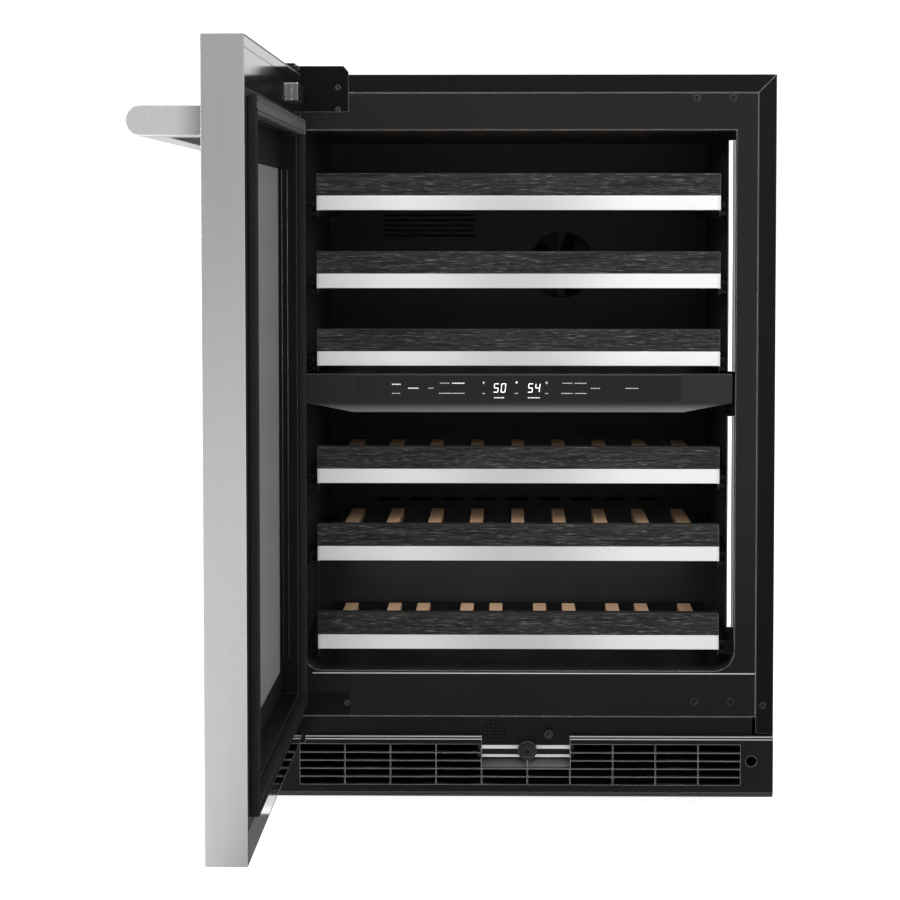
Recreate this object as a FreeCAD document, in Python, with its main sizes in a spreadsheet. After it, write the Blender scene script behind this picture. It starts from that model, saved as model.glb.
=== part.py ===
"""Built-in wine cooler, two temperature zones, six pull-out racks, glass door.

Axes: +X to the right as one faces the cooler, +Y into the cabinet, +Z up, millimetres.
The origin is on the floor, under the middle of the cabinet's front face, so the front
face is the plane Y = 0.  The door is stored standing open by door_open degrees.
"""
import FreeCAD, Part
import math
import os
import re
import Sketcher

from FreeCAD import Placement, Rotation, Vector

DIMS = {
    # outer cabinet
    "half_width": 303, "top": 870, "depth": 560, "skin": 1.5, "flange": 21, "base": 15,
    "seam": 0.2, "pan_low": 18, "pan_high": 21,
    # levelling feet
    "foot_r": 19, "foot_pad": 7, "foot_x": 262, "foot_front": 92, "foot_back": 515,
    # front frame around the opening
    "frame_half": 281.8, "frame_low": 110, "frame_plate": 2,
    "opening_half": 256, "opening_low": 165, "opening_high": 805, "corner_r": 24,
    # moulded liner with its step over the machine space
    "liner_high": 804.5, "liner_wall": 2, "liner_deep": 492, "step_y": 240, "step_z": 280,
    "lip": 6, "machine_front": 262, "machine_high": 258,
    # strip, grille and the pieces in its cut-out
    "strip_half": 278, "strip_low": 75.5, "strip_high": 109.5,
    "grille_high": 88, "grille_front": -7, "grille_back": -0.2, "grille_half": 302.5,
    "slot_low": 29.7, "slot_high": 78, "slot_bar": 1.6, "knob_x": 11, "knob_z": 70.5,
    "slot_left": -259.9, "slot_right": 264.2, "cutout_left": -43, "cutout_right": 61.6,
    "cutout_low": 49.2, "switch_x": 36, "switch_z": 90.3, "switch_r": 5,
    "stem_r": 4, "knob_flange_r": 11.5, "knob_cap_r": 7.5,
    "sounder_x": -28, "sounder_z": 92, "sounder_pitch": 4.2, "sounder_hole": 0.9,
    # door, measured as if it were shut
    "door_half": 301.5, "door_low": 90, "door_gap": 10.5, "door_thick": 40.7,
    "door_open": 90, "hinge_x": -279.75, "hinge_y": -35.25, "pin_r": 4, "pin_play": 0.05,
    "window_half": 232, "window_low": 178, "window_high": 758,
    "door_liner_low": 124, "door_liner_high": 821, "recess": 20,
    "recess_half": 248, "recess_low": 150, "recess_high": 797,
    "gasket_half": 273, "gasket_low": 131, "gasket_high": 815, "gasket_wide": 16,
    "gasket_proud": 8, "pane": 4, "spacer_wide": 10, "bush_r": 5.9,
    # hinge plates on the cabinet
    "plate_left": -300, "plate_right": -199.5, "plate_thick": 1.8, "plate_rise": 10,
    "plate_low": 82,
    # handle
    "handle_z": 790.7, "handle_tall": 28.3, "handle_out": 74, "grip_deep": 34,
    "handle_half": 276, "post_wide": 45,
    # zone divider and its controls
    "fascia_half": 252, "fascia_low": 484, "fascia_high": 518, "fascia_front": 0.8,
    "lip_low": 472, "lip_half": 191, "glass_left": -193, "glass_right": 192,
    # light strip
    "led_left": 247.2, "led_right": 255.2, "led_low": 217, "led_high": 793,
    # cold-air cover and fans
    "cover_y": 440, "cool_fan_x": 60, "cool_fan_z": 640, "cool_fan_r": 42,
    "hot_fan_x": -145, "hot_fan_z": 115, "hot_fan_r": 66, "hot_fan_y": 362,
    # racks
    "rack_half": 238.5, "rack_front": 8, "board_tall": 26.3, "board_thick": 18,
    "trim_tall": 17.1, "slat_wide": 16.5, "slat_thick": 12, "slat_drop": 22,
    "slat_pitch": 53, "cradle_pitch": 92.1, "cradle_half": 18.35,
    "rack_deep": 367, "short_rack_deep": 230, "plate": 2, "runner_out": 246,
    "rail_in": 247, "rail_out": 255.1, "tongue_in": 241, "tongue_half": 2.6,
    "runner_drop": 42, "side_drop": 51.5,
    "rack_1": 754.7, "rack_2": 662.6, "rack_3": 570.6,
    "rack_4": 431.1, "rack_5": 338.7, "rack_6": 232.8,
}
NAME = re.compile(r"[a-z][a-z_0-9]*")
PLANES = {"XY": "XY_Plane", "XZ": "XZ_Plane", "YZ": "YZ_Plane"}
ALONG = {"x": Rotation(Vector(0, 1, 0), 90), "y": Rotation(Vector(1, 0, 0), -90),
         "z": Rotation()}

doc = FreeCAD.newDocument("WineCooler")
sheet = doc.addObject("Spreadsheet::Sheet", "Dims")
for row, (alias, value) in enumerate(DIMS.items(), 1):
    sheet.set(f"A{row}", alias)
    sheet.set(f"B{row}", str(value))
    sheet.setAlias(f"B{row}", alias)
doc.recompute()

nodes = []


# ------------------------------------------------------------------ building blocks
def bind(obj, prop, formula):
    """Tie a property to the sheet through a formula in the sheet's aliases."""
    obj.setExpression(prop, NAME.sub(
        lambda word: "Dims." + word.group() if word.group() in DIMS else word.group(),
        str(formula)))


def size(alias):
    """The sheet's own number, for the shapes that are made with Part's functions."""
    return float(getattr(sheet, alias))


def node(name, obj):
    """Name a finished sub-part."""
    obj.Label = name
    nodes.append((name, obj))
    return obj


def block(name, x, y, z):
    """A box between two formulas on each axis, each pair written as 'low : high'."""
    obj = doc.addObject("Part::Box", name)
    for prop, axis, span in zip(("Length", "Width", "Height"), "xyz", (x, y, z)):
        low, high = span.split(" : ")
        bind(obj, prop, f"({high}) - ({low})")
        bind(obj, "Placement.Base." + axis, low)
    return obj


def rod(name, axis, x, y, z, radius, length):
    """A cylinder that starts at a point and runs along +axis."""
    obj = doc.addObject("Part::Cylinder", name)
    obj.Placement = Placement(Vector(), ALONG[axis])
    bind(obj, "Radius", radius)
    bind(obj, "Height", length)
    for letter, place in zip("xyz", (x, y, z)):
        bind(obj, "Placement.Base." + letter, place)
    return obj


def join(name, *pieces):
    obj = doc.addObject("Part::MultiFuse", name)
    obj.Shapes = list(pieces)
    obj.Refine = True
    return obj


def cut(name, base, *tools):
    obj = doc.addObject("Part::Cut", name)
    obj.Base = base
    obj.Tool = tools[0] if len(tools) == 1 else join(name + "_tools", *tools)
    return obj


def group(name, pieces):
    """Several separate solids in one sub-part."""
    obj = doc.addObject("Part::Compound", name)
    obj.Links = list(pieces)
    return obj


def mirrored(name, source):
    """The same piece on the other side of the cabinet's middle plane."""
    obj = doc.addObject("Part::Mirroring", name)
    obj.Source = source
    obj.Normal = Vector(1, 0, 0)
    return obj


def made(name, shape):
    """A shape made with Part's own functions from the sheet's sizes."""
    obj = doc.addObject("Part::Feature", name)
    obj.Shape = shape
    return obj


def draw(sketch, outline):
    """A closed outline in a sketch; every corner is held from the origin by formulas."""
    count = len(outline)
    corners = [Vector(math.cos(2 * math.pi * i / count), math.sin(2 * math.pi * i / count))
               for i in range(count)]
    first = sketch.GeometryCount
    for i in range(count):
        sketch.addGeometry(Part.LineSegment(corners[i], corners[(i + 1) % count]))
    for i in range(count):
        after = first + (i + 1) % count
        sketch.addConstraint(Sketcher.Constraint("Coincident", first + i, 2, after, 1))
    for i, (across, up) in enumerate(outline):
        for kind, start, formula in (("DistanceX", corners[i].x, across),
                                     ("DistanceY", corners[i].y, up)):
            held = sketch.addConstraint(
                Sketcher.Constraint(kind, -1, 1, first + i, 1, start))
            bind(sketch, f"Constraints[{held}]", formula)


def profile(name, plane, outline, low, high):
    """A body whose outline on one of its origin planes is padded from low to high.

    The outline's points are (X, Z) on the XZ plane, (Y, Z) on YZ and (X, Y) on XY.
    """
    body = doc.addObject("PartDesign::Body", name)
    sketch = body.newObject("Sketcher::SketchObject", name + "_outline")
    for feature in body.Origin.OriginFeatures:
        if feature.Role == PLANES[plane]:
            sketch.AttachmentSupport = [(feature, "")]
    sketch.MapMode = "FlatFace"
    backwards = plane == "XZ"
    bind(sketch, "AttachmentOffset.Base.z", f"-({low})" if backwards else low)
    draw(sketch, outline)
    pad = body.newObject("PartDesign::Pad", name + "_pad")
    pad.Profile = sketch
    pad.Reversed = backwards
    bind(pad, "Length", f"({high}) - ({low})")
    doc.recompute()
    return body


def corners_of(x, y):
    """The four corners of a rectangle, each side written as 'low : high'."""
    (left, right), (low, high) = x.split(" : "), y.split(" : ")
    return [(left, low), (right, low), (right, high), (left, high)]


def soften(body, direction, radius, chosen=lambda centre: True, kind="Fillet"):
    """Round or chamfer a body's straight edges along a direction, where chosen says."""
    base = body.Tip
    edges = [f"Edge{i}" for i, edge in enumerate(base.Shape.Edges, 1)
             if edge.Curve.TypeId == "Part::GeomLine"
             and edge.tangentAt(edge.FirstParameter).cross(direction).Length < 1e-6
             and chosen(edge.CenterOfMass)]
    dressed = body.newObject("PartDesign::" + kind, body.Name + "_" + kind.lower())
    dressed.Base = (base, edges)
    bind(dressed, "Radius" if kind == "Fillet" else "Size", radius)
    doc.recompute()
    return body


X_WAY, Y_WAY, Z_WAY = Vector(1, 0, 0), Vector(0, 1, 0), Vector(0, 0, 1)


# ------------------------------------------------------------------ outer cabinet
def outer_cabinet():
    """Painted steel wrap: side sheets and a top sheet whose front flanges meet in a mitre."""
    sheet_right = block("side_sheet", "half_width - skin : half_width",
                        "0 : depth", "base : top")
    flange = profile("side_flange", "XZ", [
        ("half_width - flange", "door_low"), ("half_width - skin", "door_low"),
        ("half_width - skin", "top - skin"), ("half_width - flange", "top - flange")],
        "0", "skin")
    right = join("side_wrap", sheet_right, flange)
    node("side_panel_right", right)
    node("side_panel_left", mirrored("side_wrap_left", right))

    cover = block("top_sheet", "seam + skin - half_width : half_width - skin - seam",
                  "0 : depth", "top - skin : top")
    lip = profile("top_flange", "XZ", [
        ("flange - half_width + 2 * seam", "top - flange"),
        ("half_width - flange - 2 * seam", "top - flange"),
        ("half_width - skin - 2 * seam", "top - skin"),
        ("skin + 2 * seam - half_width", "top - skin")], "0", "skin")
    node("top_panel", join("top_wrap", cover, lip))

    inside = "skin + seam - half_width : half_width - skin - seam"
    node("back_panel", block("back_sheet", inside, "depth - skin : depth",
                             "machine_high + 2 : top - skin - seam"))
    vent = block("vent_sheet", inside, "depth - skin : depth",
                 "pan_high + 1 : machine_high")
    slots = [block(f"vent_slot_{i}", f"{x} : {x} + 190", "depth - 3 : depth + 1",
                   f"machine_high - 30 - 14 * {i} : machine_high - 25 - 14 * {i}")
             for i in range(10) for x in (-230, 40)]
    socket = block("vent_socket", "-16 : 16", "depth - 3 : depth + 1",
                   "pan_high + 24 : pan_high + 48")
    node("rear_vent_cover", cut("rear_vent", vent, socket, *slots))
    node("base_pan", block("pan", inside, "10 : depth - 2 * skin", "pan_low : pan_high"))

    feet = []
    for i, (side, y) in enumerate([(-1, "foot_front"), (1, "foot_front"),
                                   (-1, "foot_back"), (1, "foot_back")]):
        x = f"{side} * foot_x"
        pad = rod(f"foot_pad_{i}", "z", x, y, "0", "foot_r", "foot_pad")
        stem = rod(f"foot_stem_{i}", "z", x, y, "0", "foot_r / 4", "pan_low")
        feet.append(join(f"foot_{i}", pad, stem))
    node("leveling_feet", group("feet", feet))


# ------------------------------------------------------------------ front frame and liner
def front_and_liner():
    """The steel face around the opening, and the moulded liner that it frames."""
    face = profile("face", "XZ", corners_of("-frame_half : frame_half",
                                           "frame_low : top - flange - seam"),
                   "seam", "seam + frame_plate")
    mouth = profile("mouth", "XZ", corners_of("-opening_half : opening_half",
                                             "opening_low : opening_high"), "-5", "10")
    soften(mouth, Y_WAY, "corner_r", lambda c: c.z < size("opening_low") + 1)
    node("front_frame", cut("face_ring", face, mouth))

    wide = "-opening_half - liner_wall : opening_half + liner_wall"
    near = "seam + frame_plate + seam"
    shell = join(
        "liner_outside",
        block("liner_low_outside", wide, f"{near} : step_y + liner_wall",
              "opening_low - liner_wall : liner_high + liner_wall"),
        block("liner_high_outside", wide, f"{near} : liner_deep + liner_wall",
              "step_z - liner_wall : liner_high + liner_wall"),
        block("liner_lip", "-opening_half - lip : opening_half + lip",
              f"{near} : {near} + liner_wall", "opening_low - lip : liner_high + lip"))
    low = profile("liner_low_inside", "XZ", corners_of(
        "-opening_half : opening_half", "opening_low : liner_high"), "0", "step_y")
    soften(low, Y_WAY, "corner_r", lambda c: c.z < size("opening_low") + 1)
    high = block("liner_high_inside", "-opening_half : opening_half",
                 "0 : liner_deep", "step_z : liner_high")
    node("inner_liner", cut("liner", shell, low, high))

    bulk = block("foam_bulk", "2 * skin - half_width : half_width - 2 * skin",
                 "6 : depth - 2 * skin", "frame_low + 2 : top - 2 * skin")
    lower = block("foam_room_low", wide, "0 : step_y + liner_wall",
                  "opening_low - liner_wall : liner_high + liner_wall")
    upper = block("foam_room_high", wide, "0 : liner_deep + liner_wall",
                  "step_z - liner_wall : liner_high + liner_wall")
    machine = block("foam_machine_room", "-half_width : half_width",
                    "machine_front : depth", "base : machine_high")
    node("foam_insulation", cut("foam", bulk, lower, upper, machine))

    heads = []
    for i, (x, z, out, r) in enumerate([
            (209, "top - 27", 0.2, 5.5), (252, "top - 27", 0.2, 5.5), (209, "128", 0.2, 5.5),
            (252, "128", 0.2, 5.5), (290, "124", 0, 4.5), (-212, "855", -1.8, 3.4),
            (-212, "829", -1.8, 3.4), (-203, "126", -1.8, 3.4)]):
        head = rod(f"screw_head_{i}", "y", x, f"{out} - 1.2", z, r, "1.2")
        drive = rod(f"screw_drive_{i}", "y", x, f"{out} - 2", z, f"{r} * 0.45", "1.4")
        heads.append(cut(f"screw_{i}", head, drive))
    node("frame_screws", group("screws", heads))


# ------------------------------------------------------------------ strip, grille, knob
def toe_pieces():
    """The strip under the frame, the louvred grille, the lock and the door switch."""
    strip = block("strip_plate", "-strip_half : strip_half",
                  "skin : skin + frame_plate", "strip_low : strip_high")
    reach = 3
    dots = [rod(f"dot_{i}_{j}", "y", f"sounder_x + {i} * sounder_pitch", "0",
                f"sounder_z + {j} * sounder_pitch", "sounder_hole", "10")
            for i in range(-reach, reach + 1) for j in range(-reach, reach + 1)
            if math.hypot(i, j) <= reach + 0.2]
    hole = rod("switch_hole", "y", "switch_x", "0", "switch_z", "switch_r + 0.3", "10")
    node("kick_strip", cut("strip", strip, hole, *dots))

    shell = profile("grille_shell", "YZ", [
        ("grille_front + 3", "base"), ("grille_front + 1.5", "base + 2.5"),
        ("grille_front + 1.5", "base + 4"), ("grille_front", "base + 6"),
        ("grille_front", "grille_high - 2.5"), ("grille_front + 2", "grille_high"),
        ("grille_back", "grille_high"), ("grille_back", "grille_high - 2"),
        ("grille_front + 3.5", "grille_high - 2"), ("grille_front + 3.5", "base + 2"),
        ("grille_back", "base + 2"), ("grille_back", "base")],
        "-grille_half", "grille_half")
    half_bays = 5
    bays = [(f"knob_x + (slot_left - knob_x) * {i + 1} / {half_bays} + slot_bar / 2",
             f"knob_x + (slot_left - knob_x) * {i} / {half_bays} - slot_bar / 2")
            for i in range(half_bays)]
    bays += [(f"knob_x + (slot_right - knob_x) * {i} / {half_bays} + slot_bar / 2",
              f"knob_x + (slot_right - knob_x) * {i + 1} / {half_bays} - slot_bar / 2")
             for i in range(half_bays)]
    openings = [block(f"bay_{i}", f"{low} : {high}", "grille_front - 1 : grille_front + 4",
                      "slot_low : slot_high") for i, (low, high) in enumerate(bays)]
    holes = [rod(f"grille_hole_{side}", "y", f"{side} * 276.5", "grille_front - 1",
                 "58.4", "6.5", "6") for side in (-1, 1)]
    panel = cut("grille_panel", shell, *openings, *holes)
    rows = 5
    blades = []
    for i in range(rows):
        blade = block(f"blade_{i}", "slot_left : slot_right",
                      "grille_front + 0.8 : grille_front + 8.4",
                      f"slot_low + (slot_high - slot_low) * {i} / {rows} - 1.2 :"
                      f" slot_low + (slot_high - slot_low) * {i} / {rows}")
        blades.append(blade)
    louvred = join("grille_louvred", panel, *blades)
    gap = block("grille_cutout", "cutout_left : cutout_right", "grille_front - 1 : 60",
                "cutout_low : grille_high + 1")
    notch = block("grille_notch", "-grille_half - 1 : -252.5", "grille_front - 1 : 60",
                  "grille_high - 9 : grille_high + 1")
    ledge = block("grille_ledge", "cutout_left : cutout_right", "grille_front + 3 : 27",
                  "cutout_low - 1.6 : cutout_low")
    node("toe_grille", join("grille", cut("grille_open", louvred, gap, notch), ledge))

    bars = profile("lock_channel", "YZ", [
        ("skin", "61"), ("skin", "64.2"), ("skin + 4", "64.2"), ("skin + 4", "71"),
        ("skin", "71"), ("skin", "75.3"), ("skin + 5.5", "75.3"), ("skin + 5.5", "61")],
        "cutout_left - 5", "cutout_right + 5")
    bore = rod("lock_bore", "y", "knob_x", "-5", "knob_z", "stem_r + pin_play", "30")
    node("lock_bracket", cut("lock_bars", bars, bore))
    stem = rod("knob_stem", "y", "knob_x", "-1", "knob_z", "stem_r", "16")
    flange = rod("knob_flange", "y", "knob_x", "-6", "knob_z", "knob_flange_r", "7")
    cap = rod("knob_cap", "y", "knob_x", "-11", "knob_z", "knob_cap_r", "6")
    keyway = block("keyway", "knob_x - 0.9 : knob_x + 0.9", "-12 : -8",
                   "knob_z - 4.5 : knob_z + 4.5")
    node("lock_knob", cut("knob", join("knob_turned", stem, flange, cap), keyway))
    tip = rod("switch_tip", "y", "switch_x", "-9.5", "switch_z", "switch_r", "20")
    button = rod("switch_button", "y", "switch_x", "-9.6", "switch_z",
                 "switch_r / 2", "1.6")
    node("door_switch_plunger", cut("switch", tip, button))


# ------------------------------------------------------------------ hinges on the cabinet
def cabinet_hinges():
    """Two pressed plates on the front face; each has an arm with a pin for the door."""
    plate = profile("top_plate", "XZ", [
        ("plate_left", "top - 44"), ("plate_right", "top - 44"),
        ("plate_right", "top + 3"), ("plate_right - 6", "top + plate_rise"),
        ("plate_left", "top + plate_rise")], "-plate_thick", "0")
    arm = block("top_arm", "plate_left : -258", "-54 : 0",
                "top + plate_rise - 4 : top + plate_rise")
    pin = rod("top_pin", "z", "hinge_x", "hinge_y", "top - 18", "pin_r", "25")
    node("top_hinge_bracket", join("top_hinge", plate, arm, pin))
    plate = profile("bottom_plate", "XZ", [
        ("plate_left", "plate_low"), ("-262", "plate_low"), ("-262", "frame_low + 2"),
        ("plate_right", "frame_low + 2"), ("plate_right", "frame_low + 29"),
        ("plate_left", "frame_low + 29")], "-plate_thick", "0")
    arm = block("bottom_arm", "plate_left : -258", "-54 : 0", "plate_low : plate_low + 6")
    pin = rod("bottom_pin", "z", "hinge_x", "hinge_y", "87", "pin_r", "21")
    node("bottom_hinge_bracket", join("bottom_hinge", plate, arm, pin))


# ------------------------------------------------------------------ divider and light
def divider_and_light():
    """The slab between the zones with its control housing, and the light strip."""
    node("zone_divider", block("divider_slab", "-opening_half + 0.5 : opening_half - 0.5",
                               "20.2 : cover_y - 0.5", "488 : 514"))
    body = profile("fascia", "YZ", [
        ("fascia_front", "fascia_low"), ("fascia_front", "fascia_high"),
        ("20", "fascia_high"), ("20", "lip_low"), ("12", "lip_low")],
        "-fascia_half", "fascia_half")
    ear = profile("fascia_ear", "XZ", [
        ("lip_half", "lip_low - 1"), ("fascia_half + 1", "lip_low - 1"),
        ("fascia_half + 1", "fascia_low")], "-5", "25")
    pocket = block("fascia_pocket", "glass_left : glass_right",
                   "fascia_front - 1 : fascia_front + 1.3",
                   "fascia_low + 1.5 : fascia_high - 1.5")
    node("control_housing", cut("housing", body, ear, mirrored("fascia_ear_left", ear),
                                pocket))
    node("control_glass", block(
        "touch_glass", "glass_left + 0.1 : glass_right - 0.1",
        "fascia_front : fascia_front + 1.2", "fascia_low + 1.6 : fascia_high - 1.6"))

    zones = (("led_low", "lip_low - 4"), ("fascia_high + 3", "led_high"))
    channels = []
    lenses = []
    for i, (low, high) in enumerate(zones):
        channel = block(f"led_bar_{i}", "led_left : led_right", "4 : 13", f"{low} : {high}")
        groove = block(f"led_groove_{i}", "led_left + 0.8 : led_right - 0.8",
                       "3 : 9", f"{low} + 1 : {high} - 1")
        channels.append(cut(f"led_trough_{i}", channel, groove))
        lenses.append(block(f"led_cover_{i}", "led_left + 0.9 : led_right - 0.9",
                            "3.2 : 8.9", f"{low} + 1.1 : {high} - 1.1"))
    node("led_channel", group("led_channels", channels))
    node("led_lens", group("led_lenses", lenses))


# ------------------------------------------------------------------ cooling machine
def fan_shape(radius, hub, deep, blades=5, pitch=32):
    """A hub with pitched blades about +Y, centred on the origin."""
    turned = Part.makeCylinder(hub, deep, Vector(0, -deep / 2, 0), Y_WAY)
    for i in range(blades):
        blade = Part.makeBox(radius - hub / 2, 1.6, 1.1 * hub)
        blade.translate(Vector(hub / 2, -0.8, -0.55 * hub))
        blade.rotate(Vector(), X_WAY, pitch)
        blade.rotate(Vector(), Y_WAY, 360 * i / blades)
        turned = turned.fuse(blade)
    slab = Part.makeBox(4 * radius, deep, 4 * radius, Vector(-2 * radius, -deep / 2, -2 * radius))
    return turned.common(slab).removeSplitter()


def coil_block(name, x, y, z, fins, tubes):
    """A finned coil: thin plates across straight tubes that run from side to side."""
    left, right = x.split(" : ")
    near, far = y.split(" : ")
    low, high = z.split(" : ")
    plates = [block(f"{name}_fin_{i}",
                    f"{left} + ({right} - ({left})) * {i} / {fins} + 4 :"
                    f" {left} + ({right} - ({left})) * {i} / {fins} + 5.2", y, z)
              for i in range(fins)]
    runs = [rod(f"{name}_tube_{i}", "x", left, f"({near} + {far}) / 2",
                f"{low} + ({high} - ({low})) * ({i} + 0.5) / {tubes}", "4",
                f"{right} - ({left})") for i in range(tubes)]
    return join(name, *plates, *runs)


def cooling_machine():
    """Compressor, condenser and fans low at the back; evaporator behind its cover."""
    cover = block("cover_sheet", "-opening_half + 0.5 : opening_half - 0.5",
                  "cover_y : cover_y + 2", "step_z + 0.5 : liner_high - 0.5")
    hole = rod("cover_hole", "y", "cool_fan_x", "cover_y - 5", "cool_fan_z",
               "cool_fan_r + 3", "12")
    slots = [block(f"cover_slot_{i}", "-182 : -59", "cover_y - 1 : cover_y + 3",
                   f"678 + 7 * {i} : 681.5 + 7 * {i}") for i in range(5)]
    slots += [block(f"return_slot_{i}", f"-190 + 44 * {i} : -160 + 44 * {i}",
                    "cover_y - 1 : cover_y + 3", "318 : 324") for i in range(9)]
    strap = [block("strap_bar", "cool_fan_x - 6 : cool_fan_x + 6",
                   "cover_y + 22 : cover_y + 24", "cool_fan_z - 52 : cool_fan_z + 52"),
             rod("cool_motor", "y", "cool_fan_x", "cover_y + 19", "cool_fan_z", "15", "4")]
    strap += [block(f"strap_leg_{side}", "cool_fan_x - 6 : cool_fan_x + 6",
                    "cover_y + 1 : cover_y + 23",
                    f"cool_fan_z + {side} * 51 - 1 : cool_fan_z + {side} * 51 + 1")
              for side in (-1, 1)]
    node("evaporator_cover", join("cover", cut("cover_open", cover, hole, *slots), *strap))
    fan = made("cool_fan", fan_shape(size("cool_fan_r"), 15, 12))
    fan.Placement = Placement(
        Vector(size("cool_fan_x"), size("cover_y") + 11, size("cool_fan_z")), Rotation())
    node("evaporator_fan", fan)
    node("evaporator_coil", coil_block("cold_coil", "-205 : 205",
                                       "cover_y + 8 : cover_y + 44", "335 : 545", 24, 5))

    can = profile("compressor_can", "XY", corners_of("40 : 200", "330 : 480"), "30", "205")
    soften(can, Z_WAY, "40")
    soften(can, X_WAY, "12", lambda c: c.z > 204)
    plate = block("compressor_plate", "20 : 220", "345 : 465", "27 : 31")
    hollow = block("compressor_hollow", "52 : 188", "342 : 468", "26 : 193")
    mounts = [rod(f"grommet_{i}", "z", x, y, "pan_high", "9", "7")
              for i, (x, y) in enumerate([(32, 357), (208, 357), (32, 453), (208, 453)])]
    node("compressor", cut("compressor_unit",
                           join("compressor_body", can, plate, *mounts), hollow))
    node("condenser_coil", coil_block("hot_coil", "-230 : -60", "300 : 340",
                                      "pan_high + 3 : 205", 16, 5))
    sheet_metal = block("shroud_sheet", "-232 : -58", "344 : 347", "pan_high : 207")
    ring_hole = rod("shroud_hole", "y", "hot_fan_x", "340", "hot_fan_z",
                    "hot_fan_r + 4", "12")
    strap = [block("hot_strap", "hot_fan_x - 8 : hot_fan_x + 8", "385 : 388",
                   "hot_fan_z - 84 : hot_fan_z + 84"),
             rod("hot_motor", "y", "hot_fan_x", "373", "hot_fan_z", "20", "13")]
    strap += [block(f"hot_leg_{side}", "hot_fan_x - 8 : hot_fan_x + 8", "345 : 387",
                    f"hot_fan_z + {side} * 82 - 2 : hot_fan_z + {side} * 82 + 2")
              for side in (-1, 1)]
    node("fan_shroud", join("shroud", cut("shroud_open", sheet_metal, ring_hole), *strap))
    fan = made("hot_fan", fan_shape(size("hot_fan_r"), 20, 18))
    fan.Placement = Placement(
        Vector(size("hot_fan_x"), size("hot_fan_y"), size("hot_fan_z")), Rotation())
    node("condenser_fan", fan)

    case = block("inlet_case", "-15.8 : 15.8", "depth - 22 : depth",
                 "pan_high + 24.2 : pan_high + 47.8")
    recess = block("inlet_recess", "-12.5 : 12.5", "depth - 18 : depth + 1",
                   "pan_high + 27 : pan_high + 45")
    blades = [block(f"inlet_blade_{i}", f"{x} - 1 : {x} + 1", "depth - 20 : depth - 4",
                    f"{z} - 2.5 : {z} + 2.5")
              for i, (x, z) in enumerate([(-7, "pan_high + 38"), (7, "pan_high + 38"),
                                          (0, "pan_high + 32")])]
    node("power_inlet", join("inlet", cut("inlet_shell", case, recess), *blades))


# ------------------------------------------------------------------ door
def swing(obj):
    """Stand a door piece, which is drawn shut, open about the hinge pins."""
    obj.Placement = Placement(Vector(), Rotation(Z_WAY, -size("door_open")),
                              Vector(size("hinge_x"), size("hinge_y"), 0))
    turned = "1deg * door_open"
    bind(obj, "Placement.Base.x",
         f"hinge_x - hinge_x * cos({turned}) - hinge_y * sin({turned})")
    bind(obj, "Placement.Base.y",
         f"hinge_y + hinge_x * sin({turned}) - hinge_y * cos({turned})")
    return obj


def ring(name, outer_x, outer_z, inner_x, inner_z, y):
    """A flat frame in the door's plane."""
    near, far = y.split(" : ")
    return cut(name, block(name + "_solid", outer_x, y, outer_z),
               block(name + "_hole", inner_x, f"{near} - 1 : {far} + 1", inner_z))


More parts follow.
